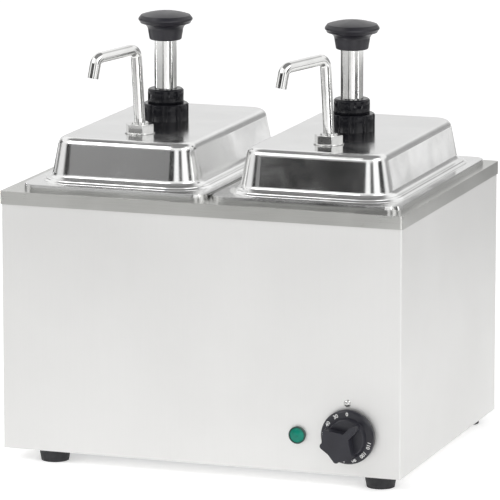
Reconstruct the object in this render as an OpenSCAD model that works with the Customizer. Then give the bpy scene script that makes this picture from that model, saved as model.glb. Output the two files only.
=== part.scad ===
// Twin-pump cheese sauce warmer: a heated water-bath cabinet with two lift-out
// pans. Each pan has a domed lid that carries a hand pump and a bent spout.
// Origin: centre of the footprint, on the surface the feet stand on. +Z is up.
// The front, with the dial, faces -Y.

/* [Cabinet] */
// width of the casing, side to side
body_w = 400; // [340:5:520]
// depth of the casing, front to back
body_d = 314; // [270:5:400]
// height from the bottom of the casing to the top of the frame
body_h = 251; // [215:1:330]
// height of the dry space under the water tank
base_room = 79; // [72:1:110]
// thickness of the casing and frame sheet
sheet = 1.2; // [0.8:0.1:2]
// outside radius of the folded corners
fold_r = 1.6; // [1.3:0.1:4]
// height of the frame's skirt
rim_h = 12.6; // [8:0.2:22]
// width of the flange folded in round the bottom of the casing
base_flange = 36; // [34:1:48]
// space between the casing and the tank walls
tank_gap = 12; // [8:1:20]

/* [Feet] */
// height of each rubber foot
foot_h = 12; // [10:1:24]
// radius of a foot where it meets the casing
foot_r = 15.5; // [13:0.5:17]
// distance from the left side to the left feet
foot_inset_left = 46; // [18:1:70]
// distance from the right side to the right feet
foot_inset_right = 25; // [18:1:70]
// distance from the front or back to the feet
foot_inset_y = 18; // [17.5:0.5:20]

/* [Pans] */
// margin between the casing and the pan flanges at the sides
side_margin = 10.5; // [8:0.5:24]
// margin between the casing and the pan flanges at front and back
front_margin = 13; // [10:0.5:24]
// gap between the two pan flanges
pan_gap = 3; // [2:0.5:12]
// width of the flange that hangs each pan
pan_lap = 13; // [10:0.5:16]
// how far the loose pans sit to the right of the middle of their cut-outs
pan_shift = 3.5; // [0:0.5:3.5]
// least clearance between a pan's wall and the edge of its cut-out
pan_play = 1.5; // [0.5:0.25:2.5]
// height of the turned-down pan edge
pan_lip = 4.2; // [3:0.2:7]
// water depth between a pan and the tank bottom
water_gap = 22; // [12:1:40]
// thickness of the pan and lid sheet
pan_t = 1.2; // [0.8:0.1:1.8]

/* [Lids] */
// height of the lid's top above the frame
dome_h = 48; // [38:1:66]
// corner radius of the dome where its walls meet the top
dome_r = 20; // [16:1:28]
// distance from the lid's edge to the top of the dome walls
dome_inset = 24; // [22:1:30]
// lean of the dome walls from upright, in degrees
dome_lean = 11; // [4:1:16]
// height of the raised step round the lid
step_h = 3.5; // [2:0.5:5]

/* [Pumps] */
// pump position across the lid
pump_x = -4; // [-12:1:12]
// pump position along the lid, towards the back
pump_y = 15; // [0:1:30]
// spout position along the lid
spout_y = -68; // [-76:1:-56]
// outside radius of the pump cylinder
cyl_r = 16; // [14:0.5:18]
// wall of the pump cylinder
cyl_wall = 2; // [1.5:0.5:3]
// radius of the push rod
rod_r = 11; // [8:0.5:11]
// height of the knob's neck above the lid when the pump is up
neck_h = 79; // [66:1:96]
// how far the pump is pressed for one full serving
pump_stroke = 44; // [20:1:46]
// radius of the push knob
knob_r = 26.5; // [20:0.5:32]
// radius of the black lock nut
nut_r = 22.4; // [20.5:0.2:26]
// height of the black lock nut
nut_h = 16.6; // [12:0.2:20]
// height of the cap above the lock nut
cap_h = 14.4; // [11:0.2:20]

/* [Spouts] */
// outside radius of the spout tube
tube_r = 5.3; // [4:0.1:6.5]
// wall of the spout tube
tube_wall = 1; // [0.6:0.1:1.5]
// height of the upper bend above the lid
spout_rise = 82; // [60:1:100]
// length of the arm between the two bends
spout_arm = 55; // [36:1:64]
// forward lean of the spout, in degrees
spout_lean = 4; // [0:1:8]
// direction of the left spout, in degrees left of straight ahead
left_spout_turn = 25; // [-45:1:45]
// direction of the right spout, in degrees left of straight ahead
right_spout_turn = 28; // [-45:1:45]

/* [Controls] */
// distance from the middle of the cabinet to the dial
dial_x = 149.5; // [120:0.5:158]
// height of the dial above the bottom of the casing
dial_z = 38.5; // [34:0.5:44]
// radius of the dial's skirt
dial_r = 26; // [22:0.5:28]
// distance from the dial to the pilot lamp
lamp_gap = 51; // [46:1:80]

/* [Hidden] */
$fn = 48;

eps = 0.01;
fit = 0.06;
air = 0.3;

// heights
z_case = foot_h;
z_top = foot_h + body_h;
z_under = z_top - sheet;
z_tank = z_case + base_room;
z_lid = z_top + pan_lip;
z_dome = z_top + dome_h;
z_floor = z_case + sheet;
z_plate = z_floor + sheet;

// pans and cut-outs
flange_w = (body_w - 2 * side_margin - pan_gap) / 2;
flange_l = body_d - 2 * front_margin;
pan_w = flange_w - 2 * pan_lap;
pan_l = flange_l - 2 * pan_lap;
pan_pitch = flange_w + pan_gap;
pan_mouth_r = 4;
// how far the pan's outside stands past its inside where it passes the frame
mouth_out = pan_lip >= pan_mouth_r ? pan_t
    : pan_mouth_r - sqrt(pow(pan_mouth_r - pan_t, 2) - pow(pan_mouth_r - pan_lip, 2));
cut_w = pan_w + 2 * (mouth_out + pan_shift + pan_play);
cut_l = pan_l + 2 * (mouth_out + pan_play);
left_x = -pan_pitch / 2 + pan_shift;
right_x = pan_pitch / 2 + pan_shift;
z_pan = z_tank + sheet + water_gap;
flange_r = 14;
pan_corner_r = 22;
cut_r = pan_corner_r + mouth_out + pan_play;
pan_draft = 2;
pan_bottom_r = 16;

// tank
tank_w = body_w - 2 * sheet - 2 * tank_gap;
tank_d = body_d - 2 * sheet - 2 * tank_gap;
tank_r = 10;

// lid section
plateau = z_lid + pan_t + step_h;
dome_top_round = 8;
dome_foot_round = 5.5;
step_round = 2;
lid_centre = dome_inset + dome_r;
dome_top_x = dome_r - dome_top_round;
dome_wall_x = dome_top_x + (dome_top_round + dome_foot_round
    + (z_dome - dome_top_round - plateau - dome_foot_round) * sin(dome_lean)) / cos(dome_lean);
step_x = dome_wall_x + step_round + 1.4;

// pump heights
cyl_bore_r = cyl_r - cyl_wall;
cyl_top = z_dome + nut_h + cap_h - 5;
cap_top = z_dome + nut_h + cap_h;
cap_r = cyl_r + 1.6;
collar_r = cyl_r + 5;
collar_h = 4;
pump_foot_h = 34;
z_pump_foot = z_pan + pan_t + 8;
socket_h = 10;
z_cyl = z_pump_foot + pump_foot_h - socket_h;
seat_t = 4;
solid_spring = 20;
z_spring = z_cyl + seat_t;
piston_h = 9;
z_piston = z_spring + solid_spring + pump_stroke;
piston_r = cyl_bore_r - fit;
spigot_r = 4;
spigot_h = piston_h - 2;
neck_z = z_dome + neck_h;
rod_into_knob = 12;
stop_h = 3.4;
stop_r = cyl_bore_r - 0.6;
z_stop = cyl_top - stop_h - 0.2;

// pump foot
foot_wall_r = cyl_r + 3;
in_ball_r = 6.5;
in_seat_r = 4.6;
chamber_r = 8;
out_ball_r = 4.5;
out_seat_r = 3;
out_chamber_r = 5.6;
riser_r = 9;
arm_r = 6.5;
arm_bore_r = 3.6;
z_in_seat = z_pump_foot + 8;
z_arm = z_pump_foot + 19;
riser_h = 30;
z_riser = z_pump_foot + 12;
z_out_seat = z_arm + 5;

// tube
tube_bore_r = tube_r - tube_wall;
spout_nut_r = 14.2;
spout_nut_h = 9;
bend_r = 8;
bend_step = 0.02;
bend_lap = 0.2;
spout_straight = 12;
tip_turn = 72;
tip_len = 13.5;

// controls
dial_cx = dial_x;
dial_cz = z_case + dial_z;
lamp_x = dial_x - lamp_gap;
lamp_z = dial_cz - 2.8;
rivet_z = dial_cz + dial_r + 5.2;
rivet_x = dial_x - 2;
front_y = -body_d / 2;
back_y = body_d / 2;
hole_play = 0.1;
shaft_r = 3;
bush_r = 5;
stat_screw_x = 14;
stat_depth = 30;
tab_l = 9;
lamp_body_r = 6.5;
lamp_lens_r = 7;
lamp_stem_r = 5;
rivet_stem_r = 1.5;
gland_x = body_w / 2 - 52;
gland_z = z_case + 38;
gland_thread_r = 8;
gland_bore_r = 3.8;
element_r = 3.25;
element_run = 240;
element_pitch = 50;
element_z = z_tank - element_r;
element_end = 22;
stud_r = 2.5;
clamp_x = 78;
bar_t = 2.5;
stud_y = [-50, 0, 50];
wire_r = 1.5;
capillary_r = 1;
capillary_bend_r = 6;
capillary_run = 24;
capillary_x = dial_cx - 12;
capillary_y = front_y + 20;
capillary_z = z_tank - 4;
bulb_r = 3.2;
bulb_l = 84;
foot_screw_r = 2.5;
plate_screw_r = 2;

foot_spots = [
    [-body_w / 2 + foot_inset_left, front_y + foot_inset_y],
    [body_w / 2 - foot_inset_right, front_y + foot_inset_y],
    [-body_w / 2 + foot_inset_left, back_y - foot_inset_y],
    [body_w / 2 - foot_inset_right, back_y - foot_inset_y]];
plate_screw_spots = [for (x = [-1, 1]) for (y = [-1, 0, 1])
    [x * (body_w / 2 - base_flange * 0.6), y * body_d * 0.25]];

// ---- shared shapes ----

// rounded rectangle, true arcs at the corners
module rrect(w, d, r) {
    square([w - 2 * r, d], center = true);
    square([w, d - 2 * r], center = true);
    for (x = [-1, 1]) for (y = [-1, 1])
        translate([x * (w / 2 - r), y * (d / 2 - r)]) circle(r);
}

module slab(w, d, r, h) {
    linear_extrude(h) rrect(w, d, r);
}

// hollow rounded frame of the given wall
module ring_slab(w, d, r, wall, h) {
    linear_extrude(h) difference() {
        rrect(w, d, r);
        rrect(w - 2 * wall, d - 2 * wall, max(r - wall, 0.3));
    }
}

// runs a section round a rounded rectangle whose corner centres are cx, cy out;
// the section's x is measured outwards from those centres
module sweep(cx, cy) {
    for (q = [[1, 1, 0], [-1, 1, 90], [-1, -1, 180], [1, -1, 270]])
        translate([q[0] * cx, q[1] * cy, 0]) rotate([0, 0, q[2]])
            rotate_extrude(angle = 90) children();
    for (s = [-1, 1]) {
        translate([0, s * cy, 0]) rotate([0, 0, s * 90]) rotate([90, 0, 0])
            linear_extrude(2 * cx, center = true) children();
        translate([s * cx, 0, 0]) rotate([0, 0, s > 0 ? 0 : 180]) rotate([90, 0, 0])
            linear_extrude(2 * cy, center = true) children();
    }
}

// points of an arc, from angle a to angle b
function arc(x, y, r, a, b, n = 8) =
    [for (i = [0:n]) [x + r * cos(a + (b - a) * i / n), y + r * sin(a + (b - a) * i / n)]];

function flip(p) = [for (i = [len(p) - 1:-1:0]) p[i]];

// round hole or pin along Y, from y towards the back
module along_y(x, y, z, r, l) {
    translate([x, y, z]) rotate([-90, 0, 0]) cylinder(r = r, h = l);
}

module hex_nut(r, h, bore) {
    difference() {
        cylinder(r = r, h = h, $fn = 6);
        translate([0, 0, -eps]) cylinder(r = bore, h = h + 2 * eps);
    }
}

// bend of a round bar in the XZ plane: starts at the origin going up, and turns
// towards +X through the given angle; drawn a hair thinner than the straights,
// which run a little way into it
module bend(angle, rb, r) {
    translate([rb, 0, 0]) rotate([90, 0, 0]) rotate([0, 0, 180 - angle])
        rotate_extrude(angle = angle) translate([rb, 0]) circle(r - bend_step);
}

// straight run of a bent tube, from grow_a before the origin to grow_b past l
module straight(r, l, grow_a, grow_b) {
    translate([0, 0, -grow_a]) cylinder(r = r, h = l + grow_a + grow_b);
}

// moves what follows to the far end of such a bend
module after_bend(angle, rb) {
    translate([rb * (1 - cos(angle)), 0, rb * sin(angle)]) rotate([0, angle, 0]) children();
}

// round cord through a list of points
module cord(points, r) {
    for (i = [0:len(points) - 2]) {
        a = points[i];
        b = points[i + 1];
        d = b - a;
        l = norm(d);
        translate(a - d * 0.5 * r / l) rotate([0, acos(d[2] / l), atan2(d[1], d[0])])
            cylinder(r = r, h = l + r, $fn = 20);
    }
}

// ---- cabinet ----

module control_holes() {
    l = 2 * sheet + 2;
    along_y(dial_cx, front_y - 1, dial_cz, bush_r + hole_play, l);
    for (s = [-1, 1])
        along_y(dial_cx + s * stat_screw_x, front_y - 1, dial_cz, plate_screw_r + hole_play, l);
    along_y(lamp_x, front_y - 1, lamp_z, lamp_body_r + hole_play, l);
    along_y(rivet_x, front_y - 1, rivet_z, rivet_stem_r + hole_play, l);
    along_y(gland_x, back_y - sheet - 1, gland_z, gland_thread_r + hole_play, l);
}

module base_holes() {
    l = 2 * sheet + 2;
    for (p = foot_spots) translate([p.x, p.y, z_case - 1])
        cylinder(r = foot_screw_r + hole_play, h = l);
    for (p = plate_screw_spots) translate([p.x, p.y, z_case - 1])
        cylinder(r = plate_screw_r + hole_play, h = l);
}

module outer_casing() {
    color("gainsboro") difference() {
        translate([0, 0, z_case]) slab(body_w, body_d, fold_r, body_h - sheet);
        translate([0, 0, z_floor])
            slab(body_w - 2 * sheet, body_d - 2 * sheet, fold_r - sheet + 0.2, body_h);
        translate([0, 0, z_case - 1])
            slab(body_w - 2 * base_flange, body_d - 2 * base_flange, 6, sheet + 2);
        control_holes();
        base_holes();
    }
}

module cut_outs(grow, z, h) {
    for (s = [-1, 1]) translate([s * pan_pitch / 2, 0, z])
        slab(cut_w + 2 * grow, cut_l + 2 * grow, cut_r + grow, h);
}

module top_frame() {
    skirt_w = body_w + 2 * sheet;
    skirt_d = body_d + 2 * sheet;
    lip_h = 9;
    color("silver") difference() {
        union() {
            translate([0, 0, z_top - rim_h]) ring_slab(skirt_w, skirt_d, fold_r + sheet, sheet, rim_h);
            translate([0, 0, z_under]) slab(skirt_w, skirt_d, fold_r + sheet, sheet);
            cut_outs(sheet, z_top - lip_h, lip_h);
        }
        cut_outs(0, z_top - lip_h - 1, lip_h + 2);
    }
}

module water_tank() {
    tank_h = z_under - z_tank;
    hem = 8;
    color("lightsteelblue") {
        difference() {
            translate([0, 0, z_tank]) slab(tank_w, tank_d, tank_r, tank_h);
            translate([0, 0, z_tank + sheet])
                slab(tank_w - 2 * sheet, tank_d - 2 * sheet, tank_r - sheet, tank_h);
        }
        translate([0, 0, z_under - sheet])
            ring_slab(tank_w + 2 * hem, tank_d + 2 * hem, tank_r + hem, hem + sheet / 2, sheet);
    }
}

module bottom_plate() {
    slot_l = 46;
    slot_w = 4;
    color("darkgray") difference() {
        translate([0, 0, z_floor]) slab(body_w - 2 * sheet - 1, body_d - 2 * sheet - 1, 1, sheet);
        base_holes();
        for (x = [-3:3]) for (y = [-1, 1])
            translate([x * 22, y * body_d * 0.2, z_floor - 1]) linear_extrude(sheet + 2)
                rrect(slot_w, slot_l, slot_w / 2 - eps);
    }
}

// ---- feet ----

module rubber_foot(p) {
    taper = 2.2;
    color("#202022") translate([p[0], p[1], 0]) difference() {
        cylinder(r1 = foot_r - taper, r2 = foot_r, h = foot_h);
        translate([0, 0, -eps]) cylinder(r = 5.4, h = foot_h / 2);
        cylinder(r = foot_screw_r + hole_play, h = foot_h + 1);
    }
}

module front_left_foot() { rubber_foot(foot_spots[0]); }
module front_right_foot() { rubber_foot(foot_spots[1]); }
module rear_left_foot() { rubber_foot(foot_spots[2]); }
module rear_right_foot() { rubber_foot(foot_spots[3]); }

module foot_screws() {
    head_h = 2.6;
    color("silver") for (p = foot_spots) translate([p[0], p[1], foot_h / 2 - head_h]) difference() {
        union() {
            cylinder(r = 4.6, h = head_h);
            cylinder(r = foot_screw_r, h = z_plate + 7 - foot_h / 2 + head_h);
        }
        translate([-3, -0.5, -eps]) cube([6, 1, 1.2]);
        translate([-0.5, -3, -eps]) cube([1, 6, 1.2]);
    }
}

module foot_nuts() {
    color("silver") for (p = foot_spots) translate([p[0], p[1], z_plate])
        hex_nut(4.6, 4, foot_screw_r);
}

module bottom_plate_screws() {
    head_h = 2.2;
    color("silver") for (p = plate_screw_spots) translate([p[0], p[1], z_case - head_h]) difference() {
        union() {
            cylinder(r = 3.8, h = head_h);
            cylinder(r = plate_screw_r, h = head_h + 2 * sheet + 5);
        }
        translate([-2.4, -0.4, -eps]) cube([4.8, 0.8, 1]);
        translate([-0.4, -2.4, -eps]) cube([0.8, 4.8, 1]);
    }
}

// ---- heater ----

module element_bend(x, y, side) {
    translate([x, y, element_z]) rotate([0, 0, side > 0 ? -90 : 90])
        rotate_extrude(angle = 180) translate([element_pitch / 2, 0]) circle(element_r);
}

module heating_element() {
    half = element_run / 2;
    color("dimgray") {
        for (i = [-1.5:1:1.5]) translate([-half, i * element_pitch, element_z]) rotate([0, 90, 0])
            cylinder(r = element_r, h = element_run);
        element_bend(-half, -element_pitch, -1);
        element_bend(half, 0, 1);
        element_bend(-half, element_pitch, -1);
        for (s = [-1.5, 1.5]) translate([half, s * element_pitch, element_z]) rotate([0, 90, 0]) {
            cylinder(r = element_r, h = element_end);
            cylinder(r = 1.6, h = element_end + 12);
        }
    }
}

module element_clamp_bars() {
    color("silver") for (s = [-1, 1]) difference() {
        translate([s * clamp_x - 6, -2 * element_pitch, element_z - element_r - bar_t])
            cube([12, 4 * element_pitch, bar_t]);
        for (y = stud_y) translate([s * clamp_x, y, element_z - element_r - bar_t - 1])
            cylinder(r = stud_r + 0.2, h = bar_t + 2);
    }
}

module element_clamp_studs() {
    color("silver") for (s = [-1, 1]) for (y = stud_y)
        translate([s * clamp_x, y, z_tank - 18]) cylinder(r = stud_r, h = 18);
}

module element_clamp_nuts() {
    color("silver") for (s = [-1, 1]) for (y = stud_y)
        translate([s * clamp_x, y, element_z - element_r - bar_t - 4]) hex_nut(4.6, 4, stud_r);
}

// ---- thermostat ----

module thermostat_housing() {
    w = 42;
    h = 34;
    y0 = front_y + sheet;
    color("#d8d2c4") difference() {
        union() {
            translate([dial_cx - w / 2, y0, dial_cz - h / 2]) cube([w, stat_depth, h]);
            along_y(dial_cx, front_y - 1.2, dial_cz, bush_r, sheet + 2);
            for (s = [-1, 1]) translate([dial_cx + s * 7 - 3.2, y0 + stat_depth - eps, dial_cz - 4])
                cube([6.4, tab_l, 0.9]);
        }
        along_y(dial_cx, front_y - 3, dial_cz, shaft_r + fit, 22);
        for (s = [-1, 1]) along_y(dial_cx + s * stat_screw_x, y0 - 1, dial_cz, plate_screw_r, 9);
    }
}

module thermostat_screws() {
    color("silver") for (s = [-1, 1]) {
        along_y(dial_cx + s * stat_screw_x, front_y - 1.8, dial_cz, 3.6, 1.8);
        along_y(dial_cx + s * stat_screw_x, front_y - 1, dial_cz, plate_screw_r, 8);
    }
}

module capillary_tube() {
    x = capillary_x;
    y = capillary_y;
    z = capillary_z;
    r = capillary_bend_r;
    foot = dial_cz + 17;
    color("#b87333") {
        translate([x, y, foot]) cylinder(r = capillary_r, h = z - r - foot, $fn = 20);
        translate([x - r, y, z - r]) rotate([90, 0, 0]) rotate_extrude(angle = 90, $fn = 40)
            translate([r, 0]) circle(capillary_r, $fn = 20);
        translate([x - r - capillary_run, y, z]) rotate([0, 90, 0])
            cylinder(r = capillary_r, h = capillary_run, $fn = 20);
    }
}

module sensor_bulb() {
    x = capillary_x - capillary_bend_r - capillary_run - bulb_l;
    socket = 4;
    color("#b87333") translate([x, capillary_y, capillary_z]) rotate([0, 90, 0]) difference() {
        cylinder(r = bulb_r, h = bulb_l);
        translate([0, 0, bulb_l - socket]) cylinder(r = capillary_r, h = socket + 1, $fn = 20);
    }
}

module index_rivet() {
    head = 2.2;
    r = 3.6;
    dome = (r * r + head * head) / (2 * head);
    color("silver") {
        intersection() {
            translate([rivet_x, front_y - head + dome, rivet_z]) rotate([90, 0, 0]) sphere(r = dome);
            along_y(rivet_x, front_y - head - 1, rivet_z, r, head + 1);
        }
        along_y(rivet_x, front_y - 1, rivet_z, rivet_stem_r, 6);
    }
}

module pilot_lamp_lens() {
    r = lamp_lens_r;
    head = 1.6;
    dome = (r * r + head * head) / (2 * head);
    color("#1f9a80") {
        intersection() {
            translate([lamp_x, front_y - 2 - head + dome, lamp_z]) rotate([90, 0, 0]) sphere(r = dome);
            along_y(lamp_x, front_y - 2 - head - 1, lamp_z, r, head + 1 + eps);
        }
        along_y(lamp_x, front_y - 2, lamp_z, r, 1.4);
        along_y(lamp_x, front_y - 2, lamp_z, lamp_stem_r, 14);
    }
}

module pilot_lamp_body() {
    color("#17352e") difference() {
        union() {
            along_y(lamp_x, front_y - 2.6, lamp_z, 8.2, 2.6);
            along_y(lamp_x, front_y - 1, lamp_z, lamp_body_r, 22);
            for (s = [-1, 1]) translate([lamp_x + s * 3 - 2.4, front_y + 20, lamp_z - 0.4])
                cube([3.2, tab_l, 0.8]);
        }
        along_y(lamp_x, front_y - 3, lamp_z, lamp_lens_r + 0.05, 2.4);
        along_y(lamp_x, front_y - 1, lamp_z, lamp_stem_r + 0.05, 14);
    }
}

// ---- cable entry ----

module cable_gland_body() {
    head = 5;
    color("#222222") difference() {
        union() {
            along_y(gland_x, back_y - 12, gland_z, gland_thread_r, 22);
            translate([gland_x, back_y, gland_z]) rotate([-90, 0, 0]) cylinder(r = 12, h = head, $fn = 6);
        }
        along_y(gland_x, back_y - 14, gland_z, 5, 30);
    }
}

module cable_gland_cap() {
    y0 = back_y + 5 + air;
    nose = back_y + 19;
    color("#222222") difference() {
        union() {
            translate([gland_x, y0, gland_z]) rotate([-90, 0, 0]) cylinder(r = 11.5, h = 14, $fn = 6);
            translate([gland_x, nose, gland_z]) rotate([-90, 0, 0]) cylinder(r1 = 9.5, r2 = 6.5, h = 6);
        }
        along_y(gland_x, back_y + 4, gland_z, gland_thread_r + fit, 12);
        along_y(gland_x, back_y + 4, gland_z, gland_bore_r, 30);
    }
}

module cable_gland_locknut() {
    nut = 5;
    color("#222222") translate([gland_x, back_y - sheet - nut, gland_z]) rotate([-90, 0, 0])
        hex_nut(11.5, nut, gland_thread_r);
}

module terminal_block() {
    x = body_w / 2 - 98;
    y = back_y - 60;
    color("#e8e2d0") difference() {
        translate([x, y, z_plate]) cube([36, 18, 15]);
        for (i = [0:2]) {
            translate([x + 6 + i * 12, y - 1, z_plate + 6]) rotate([-90, 0, 0]) cylinder(r = 2, h = 20);
            translate([x + 6 + i * 12, y + 9, z_plate + 8]) cylinder(r = 1.8, h = 10);
        }
    }
}

module internal_wires() {
    bx = body_w / 2 - 92;
    by = back_y - 60;
    bz = z_plate + 6;
    ty = front_y + sheet + stat_depth;
    end_x = element_run / 2 + element_end + 8;
    color("#9a3b2e") {
        cord([[bx, by, bz], [bx, 20, bz], [dial_cx - 7, 0, bz], [dial_cx - 7, ty + 16, bz],
            [dial_cx - 7, ty + tab_l, dial_cz - 3.5]], wire_r);
        cord([[dial_cx + 7, ty + tab_l, dial_cz - 3.5], [dial_cx + 7, ty + 20, dial_cz + 8],
            [end_x, -1.5 * element_pitch, element_z - 3]], wire_r);
        cord([[bx + 12, by, bz], [bx + 12, by - 12, bz], [bx + 12, by - 16, z_tank - 30],
            [end_x, 1.5 * element_pitch, element_z - 3]], wire_r);
        cord([[lamp_x + 2.2, front_y + 29, lamp_z], [lamp_x + 2.2, front_y + 44, lamp_z - 8],
            [lamp_x + 2.2, 10, bz + 8], [bx - 4.5, 30, bz + 8], [bx - 4.5, by - 6, bz + 8]], wire_r);
    }
}

// ---- dial ----

module control_knob() {
    skirt_t = 5;
    boss_r = 17;
    boss_h = 5;
    grip_h = 10;
    grip_a = 46;
    gap = 2.2;
    color("#2b2b30") translate([dial_cx, front_y - gap, dial_cz]) rotate([90, 0, 0]) difference() {
        union() {
            cylinder(r = dial_r, h = skirt_t - 1.5);
            translate([0, 0, skirt_t - 1.5]) cylinder(r1 = dial_r, r2 = dial_r - 1.8, h = 1.5);
            translate([0, 0, skirt_t - eps]) cylinder(r1 = boss_r + 2, r2 = boss_r, h = boss_h + eps);
            rotate([0, 0, 180 + grip_a]) translate([0, 0, skirt_t - 1])
                linear_extrude(1 + boss_h + grip_h) grip_outline();
        }
        translate([0, 0, -eps]) linear_extrude(14) shaft_outline(shaft_r + fit);
        translate([0, 0, -eps]) difference() {
            cylinder(r = dial_r - 2, h = 3);
            cylinder(r = 7, h = 3);
        }
    }
}

// grip seen from the front: a broad fan with a bump at each corner of its end, and a narrow bar behind
module grip_outline() {
    bar_w = 7;
    bar_len = 0.56 * dial_r;
    bar_neck = 0.2 * dial_r;
    wing = dial_r * [0.26, 0.7];
    wing_r = 1.4;
    corner = dial_r * [0.68, 0.34];
    corner_r = 3.2;
    for (s = [-1, 1]) {
        polygon([[-bar_len, 0], [-bar_len, s * bar_w / 2], [-bar_neck, s * bar_w / 2],
            [wing.x - wing_r, s * wing.y], [wing.x + wing_r, s * wing.y],
            [corner.x + corner_r, s * corner.y], [corner.x + 2, 0]]);
        translate([corner.x, s * corner.y]) circle(corner_r);
        translate([wing.x, s * wing.y]) circle(wing_r);
    }
    translate([-bar_len, 0]) circle(bar_w / 2);
}

// round with one flat
module shaft_outline(r) {
    intersection() {
        circle(r);
        translate([-r, -r]) square([2 * r, 2 * r - 1.4]);
    }
}

module thermostat_shaft() {
    color("silver") translate([dial_cx, front_y + 14, dial_cz]) rotate([90, 0, 0]) {
        cylinder(r = shaft_r, h = 15.4);
        translate([0, 0, 15.4 - eps]) linear_extrude(14) shaft_outline(shaft_r);
    }
}

// ---- pan and lid ----

// surface line of the pan, moved down by t
function pan_line(t) = concat(
    [[pan_corner_r + pan_lap - 7, z_lid - t]],
    arc(pan_corner_r + pan_mouth_r, z_lid - pan_mouth_r, pan_mouth_r - t, 90, 180 - pan_draft, 5),
    arc(pan_wall_x, z_pan + pan_t + pan_bottom_r, pan_bottom_r + t, -pan_draft, -90, 7),
    [[0, z_pan + pan_t - t]]);
pan_wall_x = pan_corner_r + pan_mouth_r
    - (pan_mouth_r + pan_bottom_r
        + (z_lid - pan_mouth_r - z_pan - pan_t - pan_bottom_r) * sin(pan_draft)) / cos(pan_draft);

module pan(x) {
    cx = pan_w / 2 - pan_corner_r;
    cy = pan_l / 2 - pan_corner_r;
    color("lightgray") translate([x, 0, 0]) {
        sweep(cx, cy) polygon(concat(pan_line(0), flip(pan_line(pan_t))));
        translate([-cx, -cy, z_pan]) cube([2 * cx, 2 * cy, pan_t]);
        translate([0, 0, z_lid - pan_t]) ring_slab(flange_w, flange_l, flange_r, 8, pan_t);
        translate([0, 0, z_top]) ring_slab(flange_w, flange_l, flange_r, pan_t, pan_lip);
    }
}

// surface line of the lid, moved in by t
function lid_line(t) = concat(
    [[step_x + 4, z_lid + pan_t - t]],
    arc(step_x + step_round, z_lid + pan_t + step_round / 2, step_round / 2 + t, 270, 200, 4),
    arc(step_x - step_round - 1, plateau - step_round, step_round - t, 20, 90, 4),
    arc(dome_wall_x, plateau + dome_foot_round, dome_foot_round + t, 270, 180 + dome_lean, 6),
    arc(dome_top_x, z_dome - dome_top_round, dome_top_round - t, dome_lean, 90, 8),
    [[0, z_dome - t]]);

module lid(x) {
    cx = flange_w / 2 - lid_centre;
    cy = flange_l / 2 - lid_centre;
    lid_edge = 0.6;
    color("lightgray") difference() {
        translate([x, 0, 0]) {
            sweep(cx, cy) polygon(concat(lid_line(0), flip(lid_line(pan_t))));
            translate([-cx, -cy, z_dome - pan_t]) cube([2 * cx, 2 * cy, pan_t]);
            translate([0, 0, z_lid]) linear_extrude(pan_t) difference() {
                rrect(flange_w - 2 * lid_edge, flange_l - 2 * lid_edge, flange_r - lid_edge);
                rrect(2 * (cx + step_x + 2), 2 * (cy + step_x + 2), step_x + 2);
            }
        }
        translate([x + pump_x, pump_y, z_dome - 5]) cylinder(r = cyl_r + 0.3, h = 10);
        translate([x, spout_y, z_dome - 5]) cylinder(r = tube_r + 1.6, h = 10);
    }
}

// ---- pump: fixed parts ----

module pump_cylinder(x) {
    color("#d9dde0") translate([x + pump_x, pump_y, 0]) difference() {
        union() {
            translate([0, 0, z_cyl]) cylinder(r = cyl_r, h = cyl_top - z_cyl);
            translate([0, 0, z_dome - pan_t - collar_h]) cylinder(r = collar_r, h = collar_h);
        }
        translate([0, 0, z_spring]) cylinder(r = cyl_bore_r, h = cyl_top, $fn = 64);
        translate([0, 0, z_cyl - 1]) cylinder(r = 6, h = 20);
    }
}

module pump_foot(x) {
    reach = pump_y - spout_y;
    color("#e6e6e2") translate([x, 0, 0]) difference() {
        union() {
            translate([pump_x, pump_y, z_pump_foot]) cylinder(r = foot_wall_r, h = pump_foot_h);
            translate([0, spout_y, z_riser]) cylinder(r = riser_r, h = riser_h);
            translate([0, spout_y, z_arm]) rotate([-90, 0, -atan2(pump_x, reach)])
                cylinder(r = arm_r, h = norm([pump_x, reach]) - 4);
        }
        translate([pump_x, pump_y, 0]) {
            translate([0, 0, z_cyl]) cylinder(r = cyl_r + fit / 2, h = pump_foot_h);
            translate([0, 0, z_in_seat]) cylinder(r = chamber_r, h = pump_foot_h);
            translate([0, 0, z_pump_foot - 1]) cylinder(r = in_seat_r, h = pump_foot_h);
            translate([0, 0, z_pump_foot - 1]) for (a = [0, 90]) rotate([0, 0, a])
                translate([-foot_wall_r - 1, -5, 0]) cube([2 * foot_wall_r + 2, 10, 4.5]);
        }
        translate([0, spout_y, 0]) {
            translate([0, 0, z_out_seat]) cylinder(r = out_chamber_r, h = riser_h);
            translate([0, 0, z_arm]) cylinder(r = out_seat_r, h = riser_h / 2);
            translate([0, 0, z_arm]) rotate([-90, 0, -atan2(pump_x, reach)])
                cylinder(r = arm_bore_r, h = norm([pump_x, reach]));
        }
    }
}

module inlet_ball(x) {
    up = sqrt(in_ball_r * in_ball_r - in_seat_r * in_seat_r);
    color("silver") translate([x + pump_x, pump_y, z_in_seat + up + 0.05]) sphere(r = in_ball_r);
}

module outlet_ball(x) {
    up = sqrt(out_ball_r * out_ball_r - out_seat_r * out_seat_r);
    color("silver") translate([x, spout_y, z_out_seat + up + 0.05]) sphere(r = out_ball_r);
}

module delivery_pipe(x) {
    z0 = z_riser + riser_h - 6;
    color("silver") translate([x, spout_y, 0]) difference() {
        union() {
            translate([0, 0, z0]) cylinder(r = tube_r, h = z_dome - pan_t - z0);
            translate([0, 0, z_dome - pan_t - 3]) cylinder(r = tube_r + 5, h = 3);
        }
        translate([0, 0, z0 - 1]) cylinder(r = tube_bore_r, h = z_dome);
    }
}

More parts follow.
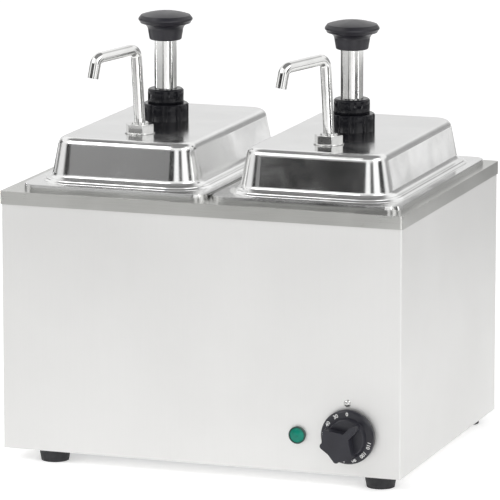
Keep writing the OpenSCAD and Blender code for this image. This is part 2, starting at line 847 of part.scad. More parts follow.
module lock_nut(x) {
    lobes = 10;
    cut_r = 3.2;
    color("#1b1b1f") translate([x + pump_x, pump_y, z_dome]) difference() {
        union() {
            cylinder(r = nut_r, h = nut_h - 1.2);
            translate([0, 0, nut_h - 1.2]) cylinder(r1 = nut_r, r2 = nut_r - 1.2, h = 1.2);
        }
        translate([0, 0, -eps]) cylinder(r = cyl_r, h = nut_h + 1);
        for (i = [0:lobes - 1]) rotate([0, 0, i * 360 / lobes])
            translate([nut_r + cut_r - 1.3, 0, -1]) cylinder(r = cut_r, h = nut_h + 2, $fn = 24);
    }
}

module cylinder_cap(x) {
    z0 = z_dome + nut_h;
    edge = 1.6;
    color("#1b1b1f") translate([x + pump_x, pump_y, 0]) difference() {
        union() {
            translate([0, 0, z0]) cylinder(r = cap_r, h = cap_h - edge);
            translate([0, 0, cap_top - edge]) cylinder(r1 = cap_r, r2 = cap_r - edge, h = edge);
        }
        translate([0, 0, z0 - 1]) cylinder(r = cyl_r, h = cyl_top - z0 + 1 + eps);
        translate([0, 0, z0]) cylinder(r = rod_r + fit, h = cap_h + 1, $fn = 64);
    }
}

module spout_nut(x) {
    seat_r = spout_nut_r + 0.4;
    color("silver") translate([x, spout_y, z_dome]) difference() {
        union() {
            cylinder(r = seat_r, h = 1.2);
            cylinder(r = spout_nut_r, h = spout_nut_h, $fn = 6);
            cylinder(r = tube_r + 3, h = spout_nut_h + 1.6);
        }
        translate([0, 0, -eps]) cylinder(r = tube_r, h = spout_nut_h + 4);
    }
}

// path of the spout, filled to radius r; grow lengthens both ends
module spout_path(r, grow) {
    kink_r = 40;
    kink_up = kink_r * sin(spout_lean);
    rise = (spout_rise - spout_straight - kink_up) / cos(spout_lean) - bend_r;
    arm = spout_arm - 2 * bend_r;
    straight(r, spout_straight, grow, bend_lap);
    translate([0, 0, spout_straight]) {
        bend(spout_lean, kink_r, r);
        after_bend(spout_lean, kink_r) {
            straight(r, rise, bend_lap, bend_lap);
            translate([0, 0, rise]) {
                bend(90, bend_r, r);
                after_bend(90, bend_r) {
                    straight(r, arm, bend_lap, bend_lap);
                    translate([0, 0, arm]) {
                        bend(tip_turn, bend_r, r);
                        after_bend(tip_turn, bend_r) straight(r, tip_len, bend_lap, grow);
                    }
                }
            }
        }
    }
}

// bent tube; turn is how far it points to the left of straight ahead
module spout(x, turn) {
    color("silver") translate([x, spout_y, z_dome]) rotate([0, 0, -90 - turn]) difference() {
        spout_path(tube_r, 0);
        spout_path(tube_bore_r, 1);
    }
}

// ---- pump: moving parts ----

module return_spring(x) {
    coil_r = cyl_bore_r - 2.6;
    wire = 0.9;
    turns = 9;
    sides = 8;
    steps = turns * 16;
    z0 = z_spring + wire + 0.05;
    pitch = (z_piston - z_spring - 2 * wire - 0.1) / turns;
    pts = [for (i = [0:steps]) let (a = 360 * turns * i / steps)
        for (k = [0:sides - 1]) let (b = 360 * k / sides, q = coil_r + wire * cos(b))
        [q * cos(a), q * sin(a), z0 + pitch * turns * i / steps + wire * sin(b)]];
    walls = [for (i = [0:steps - 1]) for (k = [0:sides - 1])
        [i * sides + k, (i + 1) * sides + k, (i + 1) * sides + (k + 1) % sides, i * sides + (k + 1) % sides]];
    caps = [[for (k = [0:sides - 1]) k], [for (k = [sides - 1:-1:0]) steps * sides + k]];
    color("silver") translate([x + pump_x, pump_y, 0]) polyhedron(points = pts, faces = concat(walls, caps));
}

module piston(x) {
    color("#35353a") translate([x + pump_x, pump_y, z_piston]) difference() {
        cylinder(r = piston_r, h = piston_h, $fn = 64);
        for (z = [2.2, 5.4]) translate([0, 0, z]) difference() {
            cylinder(r = cyl_r, h = 1.4);
            translate([0, 0, -eps]) cylinder(r = piston_r - 1.2, h = 2);
        }
        translate([0, 0, piston_h - spigot_h]) cylinder(r = spigot_r, h = spigot_h + 1);
    }
}

// hollow above a solid plug at its lower end
module push_rod(x) {
    z0 = z_piston + piston_h;
    top = neck_z + rod_into_knob;
    plug = 10;
    rod_wall = 2;
    color("silver") translate([x + pump_x, pump_y, 0]) difference() {
        union() {
            translate([0, 0, z0 - spigot_h]) cylinder(r = spigot_r, h = spigot_h + 1);
            translate([0, 0, z0]) cylinder(r = rod_r, h = top - z0, $fn = 64);
            translate([0, 0, z_stop]) cylinder(r = stop_r, h = stop_h);
        }
        translate([0, 0, z0 + plug]) cylinder(r = rod_r - rod_wall, h = top - z0);
    }
}

// outline of the push knob from its axis out, z up from the neck's lower edge
module knob_outline() {
    neck_r = rod_r + 4.7;
    waist_r = knob_r - 9.4;
    polygon(concat(
        [[0, 0], [neck_r - 0.8, 0], [neck_r, 0.8], [waist_r, 9]],
        arc(waist_r + 7, 9, 7, 180, 112, 5),
        [[knob_r - 2.2, 16.2]],
        arc(knob_r - 2, 20.2, 2, -60, 50, 5),
        arc(0, 28 - 74, 74, 90 - 19, 90, 7)));
}

module push_knob(x) {
    color("#26262b") translate([x + pump_x, pump_y, neck_z]) difference() {
        rotate_extrude($fn = 64) knob_outline();
        translate([0, 0, -1]) cylinder(r = rod_r, h = rod_into_knob + 1);
    }
}

module left_pan() { pan(left_x); }
module left_lid() { lid(left_x); }
module left_pump_cylinder() { pump_cylinder(left_x); }
module left_pump_foot() { pump_foot(left_x); }
module left_inlet_ball() { inlet_ball(left_x); }
module left_outlet_ball() { outlet_ball(left_x); }
module left_delivery_pipe() { delivery_pipe(left_x); }
module left_lock_nut() { lock_nut(left_x); }
module left_cylinder_cap() { cylinder_cap(left_x); }
module left_spout() { spout(left_x, left_spout_turn); }
module left_spout_nut() { spout_nut(left_x); }
module left_return_spring() { return_spring(left_x); }
module left_piston() { piston(left_x); }
module left_push_rod() { push_rod(left_x); }
module left_push_knob() { push_knob(left_x); }

module right_pan() { pan(right_x); }
module right_lid() { lid(right_x); }
module right_pump_cylinder() { pump_cylinder(right_x); }
module right_pump_foot() { pump_foot(right_x); }
module right_inlet_ball() { inlet_ball(right_x); }
module right_outlet_ball() { outlet_ball(right_x); }
module right_delivery_pipe() { delivery_pipe(right_x); }
module right_lock_nut() { lock_nut(right_x); }
module right_cylinder_cap() { cylinder_cap(right_x); }
module right_spout() { spout(right_x, right_spout_turn); }
module right_spout_nut() { spout_nut(right_x); }
module right_return_spring() { return_spring(right_x); }
module right_piston() { piston(right_x); }
module right_push_rod() { push_rod(right_x); }
module right_push_knob() { push_knob(right_x); }

outer_casing();
top_frame();
water_tank();
bottom_plate();
front_left_foot();
front_right_foot();
rear_left_foot();
rear_right_foot();
foot_screws();
foot_nuts();
bottom_plate_screws();
heating_element();
element_clamp_bars();
element_clamp_studs();
element_clamp_nuts();
thermostat_housing();
thermostat_screws();
capillary_tube();
sensor_bulb();
index_rivet();
pilot_lamp_lens();
pilot_lamp_body();
cable_gland_body();
cable_gland_cap();
cable_gland_locknut();
terminal_block();
internal_wires();
control_knob();
thermostat_shaft();
left_pan();
left_lid();
left_pump_cylinder();
left_pump_foot();
left_inlet_ball();
left_outlet_ball();
left_delivery_pipe();
left_lock_nut();
left_cylinder_cap();
left_spout();
left_spout_nut();
left_return_spring();
left_piston();
left_push_rod();
left_push_knob();
right_pan();
right_lid();
right_pump_cylinder();
right_pump_foot();
right_inlet_ball();
right_outlet_ball();
right_delivery_pipe();
right_lock_nut();
right_cylinder_cap();
right_spout();
right_spout_nut();
right_return_spring();
right_piston();
right_push_rod();
right_push_knob();
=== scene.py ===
import math

import bmesh
import bpy
from mathutils import Matrix, Vector


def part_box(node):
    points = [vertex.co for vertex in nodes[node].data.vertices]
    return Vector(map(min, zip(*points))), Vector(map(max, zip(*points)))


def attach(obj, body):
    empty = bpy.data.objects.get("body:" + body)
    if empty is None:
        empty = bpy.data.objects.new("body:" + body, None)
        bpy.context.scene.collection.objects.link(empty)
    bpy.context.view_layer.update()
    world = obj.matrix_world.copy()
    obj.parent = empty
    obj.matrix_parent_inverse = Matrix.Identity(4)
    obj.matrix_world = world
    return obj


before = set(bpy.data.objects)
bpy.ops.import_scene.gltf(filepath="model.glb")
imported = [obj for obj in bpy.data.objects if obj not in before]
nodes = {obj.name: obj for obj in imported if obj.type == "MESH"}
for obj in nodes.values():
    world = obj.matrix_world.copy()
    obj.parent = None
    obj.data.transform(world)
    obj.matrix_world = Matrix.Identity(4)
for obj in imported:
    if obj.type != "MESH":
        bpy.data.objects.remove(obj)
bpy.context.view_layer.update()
scene = bpy.context.scene
print("stage: frame loaded,", len(nodes), "nodes")

mm = 0.001
sides = ("left", "right")


def addNode(tree, kind, **values):
    node = tree.nodes.new(kind)
    for name, value in values.items():
        setattr(node, name, value)
    return node


def join(tree, a, b):
    tree.links.new(a, b)


# blends two colours, each an output or a plain triple, by a share from 0 to 1
# (the node's colour sockets go by number, since its other kinds share their names)
def mixColors(tree, share, first, second):
    mix = addNode(tree, "ShaderNodeMix", data_type="RGBA")
    factor, colorA, colorB = mix.inputs[0], mix.inputs[6], mix.inputs[7]
    join(tree, share, factor)
    for socket, color in ((colorA, first), (colorB, second)):
        if isinstance(color, tuple):
            socket.default_value = (*color, 1)
        else:
            join(tree, color, socket)
    return mix.outputs[2]


def addBump(tree, shader, height, strength, depth):
    bump = addNode(tree, "ShaderNodeBump")
    bump.inputs["Strength"].default_value = strength
    bump.inputs["Distance"].default_value = depth
    join(tree, height, bump.inputs["Height"])
    join(tree, bump.outputs["Normal"], shader.inputs["Normal"])


def newMaterial(name):
    material = bpy.data.materials.new(name)
    material.use_nodes = True
    return material, material.node_tree


# builds a shader node group once, with named inputs and outputs
def makeGroup(name, inputs, outputs, build):
    group = bpy.data.node_groups.new(name, "ShaderNodeTree")
    for label, kind, value in inputs:
        socket = group.interface.new_socket(label, in_out="INPUT", socket_type=kind)
        socket.default_value = value
    for label, kind in outputs:
        group.interface.new_socket(label, in_out="OUTPUT", socket_type=kind)
    start = addNode(group, "NodeGroupInput")
    end = addNode(group, "NodeGroupOutput")
    build(group, start.outputs, end.inputs)
    return group


floatKind = "NodeSocketFloat"
vectorKind = "NodeSocketVector"
colorKind = "NodeSocketColor"


# fine parallel scratches, long along the axis whose stretch is small
def buildGrain(tree, given, made):
    grain = {"detail": 4.0, "roughness": 0.65}
    stretch = addNode(tree, "ShaderNodeVectorMath", operation="MULTIPLY")
    join(tree, given["Vector"], stretch.inputs[0])
    join(tree, given["Stretch"], stretch.inputs[1])
    fine = addNode(tree, "ShaderNodeTexNoise")
    fine.inputs["Scale"].default_value = 1.0
    fine.inputs["Detail"].default_value = grain["detail"]
    fine.inputs["Roughness"].default_value = grain["roughness"]
    join(tree, stretch.outputs[0], fine.inputs["Vector"])
    join(tree, fine.outputs["Fac"], made["Grain"])


grainGroup = makeGroup(
    "grain",
    [("Vector", vectorKind, (0, 0, 0)), ("Stretch", vectorKind, (1, 1, 1))],
    [("Grain", floatKind)],
    buildGrain,
)


# soft blotches from handling, mapped between two values
def buildSmudge(tree, given, made):
    smudge = {"detail": 5.0, "distortion": 0.6, "range": (0.32, 0.68)}
    wide = addNode(tree, "ShaderNodeTexNoise")
    wide.inputs["Detail"].default_value = smudge["detail"]
    wide.inputs["Distortion"].default_value = smudge["distortion"]
    join(tree, given["Vector"], wide.inputs["Vector"])
    join(tree, given["Scale"], wide.inputs["Scale"])
    spread = addNode(tree, "ShaderNodeMapRange")
    spread.inputs["From Min"].default_value = smudge["range"][0]
    spread.inputs["From Max"].default_value = smudge["range"][1]
    join(tree, wide.outputs["Fac"], spread.inputs["Value"])
    join(tree, given["Low"], spread.inputs["To Min"])
    join(tree, given["High"], spread.inputs["To Max"])
    join(tree, spread.outputs["Result"], made["Value"])


smudgeGroup = makeGroup(
    "smudge",
    [("Vector", vectorKind, (0, 0, 0)), ("Scale", floatKind, 12.0),
     ("Low", floatKind, 0.0), ("High", floatKind, 1.0)],
    [("Value", floatKind)],
    buildSmudge,
)


# sparse small specks, 0 or 1 with a soft edge
def buildSpecks(tree, given, made):
    edge = (0.06, 0.14)
    cells = addNode(tree, "ShaderNodeTexVoronoi")
    join(tree, given["Vector"], cells.inputs["Vector"])
    join(tree, given["Scale"], cells.inputs["Scale"])
    cut = addNode(tree, "ShaderNodeMapRange")
    cut.inputs["From Min"].default_value = edge[0]
    cut.inputs["From Max"].default_value = edge[1]
    cut.inputs["To Min"].default_value = 1.0
    cut.inputs["To Max"].default_value = 0.0
    join(tree, cells.outputs["Distance"], cut.inputs["Value"])
    join(tree, cut.outputs["Result"], made["Mask"])


specksGroup = makeGroup(
    "specks",
    [("Vector", vectorKind, (0, 0, 0)), ("Scale", floatKind, 200.0)],
    [("Mask", floatKind)],
    buildSpecks,
)


def useGroup(tree, group, vector, **values):
    node = addNode(tree, "ShaderNodeGroup", node_tree=group)
    join(tree, vector, node.inputs["Vector"])
    for name, value in values.items():
        node.inputs[name].default_value = value
    return node


# what a finish has unless it says otherwise, and what all of them share
usualLook = {"metallic": 0.0, "specular": 0.5, "speckScale": 260.0, "grainRough": 0.04,
             "speckRough": 0.05, "bump": 0.1, "depth": 0.02 * mm}
grainRange = (0.25, 0.75)
roughToTone = 1.7


# one finish: colour blotches, roughness blotches, grain and specks, with bump
def makeFinish(name, changes):
    look = {**usualLook, **changes}
    material, tree = newMaterial(name)
    shader = tree.nodes["Principled BSDF"]
    shader.inputs["Metallic"].default_value = look["metallic"]
    shader.inputs["Specular IOR Level"].default_value = look["specular"]
    place = addNode(tree, "ShaderNodeTexCoord").outputs["Object"]

    tone = useGroup(tree, smudgeGroup, place, Scale=look["toneScale"], Low=0.0, High=1.0)
    grain = useGroup(tree, grainGroup, place, Stretch=look["stretch"])
    specks = useGroup(tree, specksGroup, place, Scale=look["speckScale"])

    blotch = mixColors(tree, tone.outputs["Value"], look["dark"], look["light"])
    streak = addNode(tree, "ShaderNodeMapRange")
    streak.inputs["From Min"].default_value = grainRange[0]
    streak.inputs["From Max"].default_value = grainRange[1]
    streak.inputs["To Min"].default_value = 1 - look["streak"]
    streak.inputs["To Max"].default_value = 1 + look["streak"]
    join(tree, grain.outputs["Grain"], streak.inputs["Value"])
    tinted = addNode(tree, "ShaderNodeVectorMath", operation="SCALE")
    join(tree, blotch, tinted.inputs[0])
    join(tree, streak.outputs["Result"], tinted.inputs["Scale"])
    join(tree, tinted.outputs[0], shader.inputs["Base Color"])

    rough = useGroup(tree, smudgeGroup, place, Scale=look["toneScale"] * roughToTone,
                     Low=look["rough"][0], High=look["rough"][1])
    roughGrain = addNode(tree, "ShaderNodeMath", operation="MULTIPLY_ADD")
    join(tree, grain.outputs["Grain"], roughGrain.inputs[0])
    roughGrain.inputs[1].default_value = look["grainRough"]
    join(tree, rough.outputs["Value"], roughGrain.inputs[2])
    speckRough = addNode(tree, "ShaderNodeMath", operation="MULTIPLY_ADD", use_clamp=True)
    join(tree, specks.outputs["Mask"], speckRough.inputs[0])
    speckRough.inputs[1].default_value = look["speckRough"]
    join(tree, roughGrain.outputs[0], speckRough.inputs[2])
    join(tree, speckRough.outputs[0], shader.inputs["Roughness"])

    addBump(tree, shader, grain.outputs["Grain"], look["bump"], look["depth"])
    return material


view = {
    "place": (1.4734, -4.2376, 1.0682),   # from the middle of the footprint
    "yaw": 19.217,
    "pitch": 11.082,
    "lens": 338.29,
    "sensor": 36.0,
    "far": 60.0,
}
cameraData = bpy.data.cameras.new("camera")
cameraData.sensor_width = view["sensor"]
cameraData.lens = view["lens"]
cameraData.clip_end = view["far"]
camera = bpy.data.objects.new("camera", cameraData)
camera.location = view["place"]
camera.rotation_euler = (math.radians(90 - view["pitch"]), 0, math.radians(view["yaw"]))
scene.collection.objects.link(camera)
scene.camera = camera
scene.view_settings.view_transform = "Standard"
print("stage: camera set")

# how closely the grain is packed along each axis
alongX = (25, 2600, 2600)
alongZ = (2600, 2600, 30)
evenGrain = (1500, 1500, 1500)

finishes = {
    "satinSheet": {"metallic": 1.0, "dark": (0.775, 0.772, 0.762), "light": (0.81, 0.807, 0.797),
                   "toneScale": 5.0, "rough": (0.48, 0.56), "stretch": (2200, 2200, 16),
                   "streak": 0.012, "bump": 0.10, "depth": 0.006 * mm},
    "brushedFrame": {"metallic": 1.0, "dark": (0.50, 0.50, 0.48), "light": (0.57, 0.57, 0.55),
                     "toneScale": 9.0, "rough": (0.24, 0.33), "stretch": alongX,
                     "streak": 0.07, "bump": 0.25, "depth": 0.01 * mm},
    "plainSheet": {"metallic": 1.0, "dark": (0.50, 0.51, 0.52), "light": (0.62, 0.63, 0.64),
                   "toneScale": 8.0, "rough": (0.30, 0.46), "stretch": alongX,
                   "streak": 0.05, "bump": 0.2, "depth": 0.01 * mm},
    "polishedSheet": {"metallic": 1.0, "dark": (0.74, 0.74, 0.735), "light": (0.80, 0.80, 0.795),
                      "toneScale": 16.0, "rough": (0.09, 0.19), "stretch": (60, 1400, 1400),
                      "streak": 0.02, "bump": 0.10, "depth": 0.008 * mm, "grainRough": 0.05,
                      "speckScale": 420.0, "speckRough": 0.10},
    "tubeSteel": {"metallic": 1.0, "dark": (0.70, 0.70, 0.69), "light": (0.79, 0.79, 0.78),
                  "toneScale": 30.0, "rough": (0.07, 0.14), "stretch": alongZ,
                  "streak": 0.04, "bump": 0.12, "depth": 0.006 * mm},
    "valveSteel": {"metallic": 1.0, "dark": (0.62, 0.62, 0.62), "light": (0.74, 0.74, 0.74),
                   "toneScale": 60.0, "rough": (0.10, 0.2), "stretch": evenGrain,
                   "streak": 0.03, "bump": 0.1},
    "fastenerSteel": {"metallic": 1.0, "dark": (0.55, 0.55, 0.54), "light": (0.68, 0.68, 0.67),
                      "toneScale": 90.0, "rough": (0.18, 0.3), "stretch": evenGrain,
                      "streak": 0.04, "bump": 0.15},
    "elementSheath": {"metallic": 0.9, "dark": (0.10, 0.09, 0.085), "light": (0.18, 0.165, 0.15),
                      "toneScale": 40.0, "rough": (0.45, 0.65), "stretch": evenGrain,
                      "streak": 0.12, "bump": 0.3, "depth": 0.03 * mm},
    "footRubber": {"dark": (0.014, 0.014, 0.016), "light": (0.026, 0.026, 0.029),
                   "toneScale": 60.0, "rough": (0.55, 0.75), "stretch": evenGrain,
                   "streak": 0.2, "bump": 0.4, "depth": 0.04 * mm, "speckRough": 0.1},
    "thermostatCase": {"dark": (0.60, 0.55, 0.44), "light": (0.70, 0.66, 0.55),
                       "toneScale": 50.0, "rough": (0.45, 0.6), "stretch": evenGrain,
                       "streak": 0.04, "bump": 0.2, "depth": 0.02 * mm},
    "copper": {"metallic": 1.0, "dark": (0.42, 0.18, 0.10), "light": (0.72, 0.36, 0.22),
               "toneScale": 45.0, "rough": (0.22, 0.42), "stretch": evenGrain,
               "streak": 0.06, "bump": 0.1},
    "darkPlastic": {"dark": (0.013, 0.013, 0.018), "light": (0.022, 0.022, 0.030), "specular": 0.42,
                    "toneScale": 40.0, "rough": (0.26, 0.36), "stretch": (900, 900, 900),
                    "streak": 0.10, "bump": 0.25, "depth": 0.02 * mm, "speckRough": 0.12},
    "lampRing": {"dark": (0.003, 0.030, 0.022), "light": (0.006, 0.055, 0.040),
                 "toneScale": 80.0, "rough": (0.18, 0.3), "stretch": evenGrain,
                 "streak": 0.08, "bump": 0.1},
    "wireCover": {"dark": (0.30, 0.07, 0.05), "light": (0.42, 0.10, 0.07),
                  "toneScale": 60.0, "rough": (0.4, 0.55), "stretch": evenGrain,
                  "streak": 0.08, "bump": 0.2},
    "pumpPlastic": {"dark": (0.74, 0.74, 0.70), "light": (0.84, 0.84, 0.81),
                    "toneScale": 40.0, "rough": (0.3, 0.42), "stretch": evenGrain,
                    "streak": 0.02, "bump": 0.12},
    "glossBlack": {"dark": (0.006, 0.006, 0.008), "light": (0.012, 0.012, 0.015),
                   "toneScale": 40.0, "rough": (0.05, 0.13), "stretch": (700, 700, 700),
                   "streak": 0.15, "bump": 0.06, "specular": 0.22},
    "knobBlack": {"dark": (0.011, 0.010, 0.014), "light": (0.020, 0.019, 0.026), "specular": 0.45,
                  "toneScale": 35.0, "rough": (0.26, 0.36), "stretch": (1100, 1100, 1100),
                  "streak": 0.10, "bump": 0.22, "depth": 0.02 * mm, "speckRough": 0.12},
    "pistonBlack": {"dark": (0.018, 0.018, 0.018), "light": (0.034, 0.034, 0.034),
                    "toneScale": 70.0, "rough": (0.45, 0.6), "stretch": evenGrain,
                    "streak": 0.1, "bump": 0.2},
    "dialPrint": {"dark": (0.70, 0.70, 0.69), "light": (0.86, 0.86, 0.85),
                  "toneScale": 400.0, "rough": (0.4, 0.55), "stretch": evenGrain,
                  "streak": 0.05, "bump": 0.1},
}
made = {name: makeFinish(name, look) for name, look in finishes.items()}


# green translucent lens: plain metallic and transmission, patterned colour and bump
def makeLens():
    lens = {"dark": (0.001, 0.17, 0.115), "light": (0.004, 0.27, 0.19), "cells": 900.0,
            "toneScale": 150.0, "roughScale": 220.0, "transmission": 0.20, "specular": 0.25,
            "rough": (0.16, 0.26), "bump": 0.3, "depth": 0.05 * mm, "glow": 0.12}
    material, tree = newMaterial("lampLens")
    shader = tree.nodes["Principled BSDF"]
    shader.inputs["Transmission Weight"].default_value = lens["transmission"]
    shader.inputs["Specular IOR Level"].default_value = lens["specular"]
    place = addNode(tree, "ShaderNodeTexCoord").outputs["Object"]
    specks = useGroup(tree, specksGroup, place, Scale=lens["cells"])
    tone = useGroup(tree, smudgeGroup, place, Scale=lens["toneScale"], Low=0.0, High=1.0)
    rough = useGroup(tree, smudgeGroup, place, Scale=lens["roughScale"],
                     Low=lens["rough"][0], High=lens["rough"][1])
    color = mixColors(tree, tone.outputs["Value"], lens["dark"], lens["light"])
    join(tree, color, shader.inputs["Base Color"])
    join(tree, rough.outputs["Value"], shader.inputs["Roughness"])
    addBump(tree, shader, specks.outputs["Mask"], lens["bump"], lens["depth"])
    shader.inputs["Emission Color"].default_value = (*lens["light"], 1)
    shader.inputs["Emission Strength"].default_value = lens["glow"]
    return material


made["lampLens"] = makeLens()

# the nodes that wear each finish; names in perSide stand for a left and a right node
wears = {
    "satinSheet": ["outer_casing"],
    "brushedFrame": ["top_frame"],
    "plainSheet": ["water_tank", "bottom_plate", "element_clamp_bars"],
    "footRubber": ["front_left_foot", "front_right_foot", "rear_left_foot", "rear_right_foot"],
    "fastenerSteel": ["foot_screws", "foot_nuts", "bottom_plate_screws", "element_clamp_studs",
                      "element_clamp_nuts", "thermostat_screws", "index_rivet", "thermostat_shaft"],
    "elementSheath": ["heating_element"],
    "thermostatCase": ["thermostat_housing", "terminal_block"],
    "copper": ["capillary_tube", "sensor_bulb"],
    "lampLens": ["pilot_lamp_lens"],
    "lampRing": ["pilot_lamp_body"],
    "darkPlastic": ["cable_gland_body", "cable_gland_cap", "cable_gland_locknut", "control_knob"],
    "wireCover": ["internal_wires"],
}
perSide = {
    "polishedSheet": ["pan", "lid"],
    "tubeSteel": ["pump_cylinder", "delivery_pipe", "spout", "spout_nut", "push_rod"],
    "valveSteel": ["inlet_ball", "outlet_ball", "return_spring"],
    "pumpPlastic": ["pump_foot"],
    "glossBlack": ["lock_nut", "cylinder_cap"],
    "knobBlack": ["push_knob"],
    "pistonBlack": ["piston"],
}
for finish, names in perSide.items():
    wears.setdefault(finish, []).extend(f"{side}_{name}" for side in sides for name in names)
for finish, names in wears.items():
    for name in names:
        slots = nodes[name].data.materials
        slots.clear()
        slots.append(made[finish])


# a small round on the edges of moulded and turned pieces, widths in millimetres
def softenEdges():
    edging = {"weld": 0.002, "segments": 2, "sharpest": 40,
              "widths": {"control_knob": 0.5, "lock_nut": 0.5, "cylinder_cap": 0.4,
                         "spout_nut": 0.4}}
    for name, node in nodes.items():
        kind = name.removeprefix("left_").removeprefix("right_")
        if kind not in edging["widths"]:
            continue
        weld = node.modifiers.new("weld", "WELD")
        weld.merge_threshold = edging["weld"] * mm
        bevel = node.modifiers.new("softEdge", "BEVEL")
        bevel.width = edging["widths"][kind] * mm
        bevel.segments = edging["segments"]
        bevel.limit_method = "ANGLE"
        bevel.angle_limit = math.radians(edging["sharpest"])
        bevel.harden_normals = True


softenEdges()

# every node has to wear a finish
bare = sorted(set(nodes) - {name for names in wears.values() for name in names})
assert not bare, bare
print("stage: finishes on every node")


# generic numbers round the dial's skirt, and a mark at its off position
def makeDialPrint():
    dial = {"skirt": 7.2, "proud": 0.05, "thick": 0.06, "bold": 0.10, "ring": 0.85, "size": 4.9,
            "off": 90.0, "first": 120.0, "step": 28.0, "numbers": range(30, 111, 10)}
    shape = bmesh.new()

    low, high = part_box("control_knob")
    skirtR = (high.x - low.x) / 2
    middle = Vector((high.x - skirtR, 0, high.z - skirtR))
    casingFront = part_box("outer_casing")[0].y
    ringR = skirtR * dial["ring"]
    faceY = casingFront - dial["skirt"] * mm

    def stamp(text, angle):
        curve = bpy.data.curves.new("print", "FONT")
        curve.body = text
        curve.size = dial["size"] * mm
        curve.align_x = "CENTER"
        curve.align_y = "CENTER"
        curve.offset = dial["bold"] * mm
        curve.extrude = dial["thick"] / 2 * mm
        holder = bpy.data.objects.new("print", curve)
        scene.collection.objects.link(holder)
        bpy.context.view_layer.update()
        depsgraph = bpy.context.evaluated_depsgraph_get()
        mesh = bpy.data.meshes.new_from_object(holder.evaluated_get(depsgraph))
        a = math.radians(angle)
        across, up = ringR * math.cos(a), ringR * math.sin(a)
        spot = middle + Vector((across, faceY - dial["proud"] * mm, up))
        quarter = math.radians(90)
        upright = Matrix.Rotation(quarter, 4, "X")
        spin = Matrix.Rotation(quarter - a, 4, "Y")
        mesh.transform(Matrix.Translation(spot) @ spin @ upright)
        shape.from_mesh(mesh)
        bpy.data.objects.remove(holder)
        bpy.data.curves.remove(curve)
        bpy.data.meshes.remove(mesh)

    stamp("0", dial["off"])
    for place, number in enumerate(dial["numbers"]):
        stamp(str(number), dial["first"] + dial["step"] * place)
    mesh = bpy.data.meshes.new("dial_print")
    shape.to_mesh(mesh)
    shape.free()
    piece = bpy.data.objects.new("dial_print", mesh)
    mesh.materials.append(made["dialPrint"])
    scene.collection.objects.link(piece)
    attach(piece, "dial")


makeDialPrint()
print("stage: dial print made")


# one flat or folded sheet that belongs to the studio, not to the object
def stageSheet(name, points, faces, material):
    mesh = bpy.data.meshes.new(name)
    mesh.from_pydata(points, [], faces)
    sheet = bpy.data.objects.new(name, mesh)
    mesh.materials.append(material)
    scene.collection.objects.link(sheet)
    return sheet


def glowing(name, level):
    material, tree = newMaterial(name)
    tree.nodes.clear()
    shine = addNode(tree, "ShaderNodeEmission")
    shine.inputs["Color"].default_value = (1, 1, 1, 1)
    shine.inputs["Strength"].default_value = level
    end = addNode(tree, "ShaderNodeOutputMaterial")
    join(tree, shine.outputs[0], end.inputs["Surface"])
    return material


def makeFloor():
    floor = {"half": 14.0, "tone": 0.90, "lift": 0.36, "rough": 0.9, "specular": 0.1}
    paper, tree = newMaterial("floorPaper")
    shader = tree.nodes["Principled BSDF"]
    shader.inputs["Roughness"].default_value = floor["rough"]
    shader.inputs["Specular IOR Level"].default_value = floor["specular"]
    shader.inputs["Base Color"].default_value = (floor["tone"],) * 3 + (1,)
    shader.inputs["Emission Color"].default_value = (1, 1, 1, 1)
    shader.inputs["Emission Strength"].default_value = floor["lift"]
    h = floor["half"]
    stageSheet("floor", [(-h, -h, 0), (h, -h, 0), (h, h, 0), (-h, h, 0)], [(0, 1, 2, 3)], paper)


# Upright curved cards that show only in reflections. Angles are in degrees round
# from straight in front, positive towards the right side, and sizes in metres.
def makeCards():
    usual = {"reach": 1.25, "low": 0.0, "top": 0.20}
    degreesPerFace = 3
    cards = {
        "greyFront": {"span": (-90, -17), "level": 0.60},
        "darkFront": {"span": (-17, -4), "level": 0.06},
        "stripRight": {"span": (36, 40), "level": 7.0},
        "darkRight": {"span": (52, 84), "level": 0.03},
        "stripSide": {"span": (84, 87), "level": 7.0},
        "greySide": {"span": (90, 176), "level": 0.40},
        "darkLeft": {"span": (-143, -93), "level": 0.08},
        "stripLeft": {"span": (-93, -90), "level": 7.0},
        "lidGrey": {"span": (-34, -18), "level": 0.32, "reach": 1.80, "low": 0.40, "top": 0.80},
    }
    for name, changes in cards.items():
        card = {**usual, **changes}
        first, last = card["span"]
        count = max(1, round((last - first) / degreesPerFace))
        points = []
        for n in range(count + 1):
            a = math.radians(first + (last - first) * n / count)
            x, y = card["reach"] * math.sin(a), -card["reach"] * math.cos(a)
            points += [(x, y, card["low"]), (x, y, card["top"])]
        faces = [(2 * n, 2 * n + 2, 2 * n + 3, 2 * n + 1) for n in range(count)]
        sheet = stageSheet(name, points, faces, glowing(name, card["level"]))
        sheet.visible_camera = False
        sheet.visible_diffuse = False
        sheet.visible_shadow = False
        sheet.visible_transmission = False


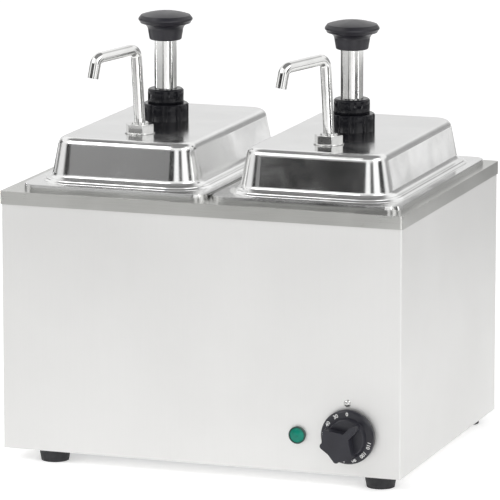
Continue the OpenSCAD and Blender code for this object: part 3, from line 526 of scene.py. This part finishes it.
# The sky by direction: pairs of degrees round from the front and brightness near the
# horizon, and pairs of height and brightness above it. The backdrop itself stays white.
def makeWorld():
    sky = {
        "around": [(-180, 0.86), (-128, 0.86), (-118, 0.12), (-98, 0.12), (-90, 1.0), (-60, 1.0),
                   (-50, 0.03), (2, 0.025), (8, 1.3), (24, 1.3), (29, 0.06), (40, 0.06),
                   (45, 1.4), (68, 1.4), (73, 0.03), (92, 0.03), (98, 1.1), (114, 1.1),
                   (122, 0.42), (168, 0.42), (176, 0.86)],
        "above": [(0.0, 1.15), (0.72, 1.15), (0.84, 0.25), (1.0, 0.30)],
        "join": (0.30, 0.42),
        "backdrop": 1.1,
    }
    world = bpy.data.worlds.new("studio")
    world.use_nodes = True
    tree = world.node_tree
    shine = tree.nodes["Background"]
    way = addNode(tree, "ShaderNodeTexCoord")
    parts = addNode(tree, "ShaderNodeSeparateXYZ")
    join(tree, way.outputs["Generated"], parts.inputs[0])

    def maths(operation, a, b, c=0.0):
        node = addNode(tree, "ShaderNodeMath", operation=operation)
        for place, value in enumerate((a, b, c)):
            if isinstance(value, (int, float)):
                node.inputs[place].default_value = value
            else:
                join(tree, value, node.inputs[place])
        return node.outputs[0]

    def levels(source, stops):
        ramp = addNode(tree, "ShaderNodeValToRGB")
        join(tree, source, ramp.inputs[0])
        bar = ramp.color_ramp
        for place, (at, level) in enumerate(stops):
            stop = bar.elements[place] if place < 2 else bar.elements.new(at)
            stop.position = at
            stop.color = (level, level, level, 1)
        return ramp.outputs["Color"]

    front = maths("MULTIPLY", parts.outputs["Y"], -1.0)
    turn = maths("ARCTAN2", parts.outputs["X"], front)
    share = maths("MULTIPLY_ADD", turn, 1 / (2 * math.pi), 0.5)
    low = levels(share, [(a / 360 + 0.5, level) for a, level in sky["around"]])
    high = levels(parts.outputs["Z"], sky["above"])
    rise = addNode(tree, "ShaderNodeMapRange", interpolation_type="SMOOTHSTEP")
    join(tree, parts.outputs["Z"], rise.inputs["Value"])
    rise.inputs["From Min"].default_value, rise.inputs["From Max"].default_value = sky["join"]
    lit = mixColors(tree, rise.outputs["Result"], low, high)
    seen = addNode(tree, "ShaderNodeLightPath").outputs["Is Camera Ray"]
    shown = mixColors(tree, seen, lit, (sky["backdrop"],) * 3)
    join(tree, shown, shine.inputs["Color"])
    scene.world = world


makeFloor()
makeCards()
makeWorld()


# square area lights that face a point above the middle of the floor
def makeLights():
    aim = Vector((0, 0, 0.15))
    lights = {
        "key": {"place": (-1.6, -1.8, 2.4), "size": 1.6, "power": 22},
        "fill": {"place": (2.2, -0.8, 2.0), "size": 1.8, "power": 12},
    }
    for name, light in lights.items():
        data = bpy.data.lights.new(name, "AREA")
        data.shape = "SQUARE"
        data.size = light["size"]
        data.energy = light["power"]
        lamp = bpy.data.objects.new(name, data)
        lamp.location = light["place"]
        lamp.rotation_mode = "QUATERNION"
        way = aim - Vector(light["place"])
        lamp.rotation_quaternion = way.to_track_quat("-Z", "Y")
        scene.collection.objects.link(lamp)


makeLights()
print("stage: studio lit")
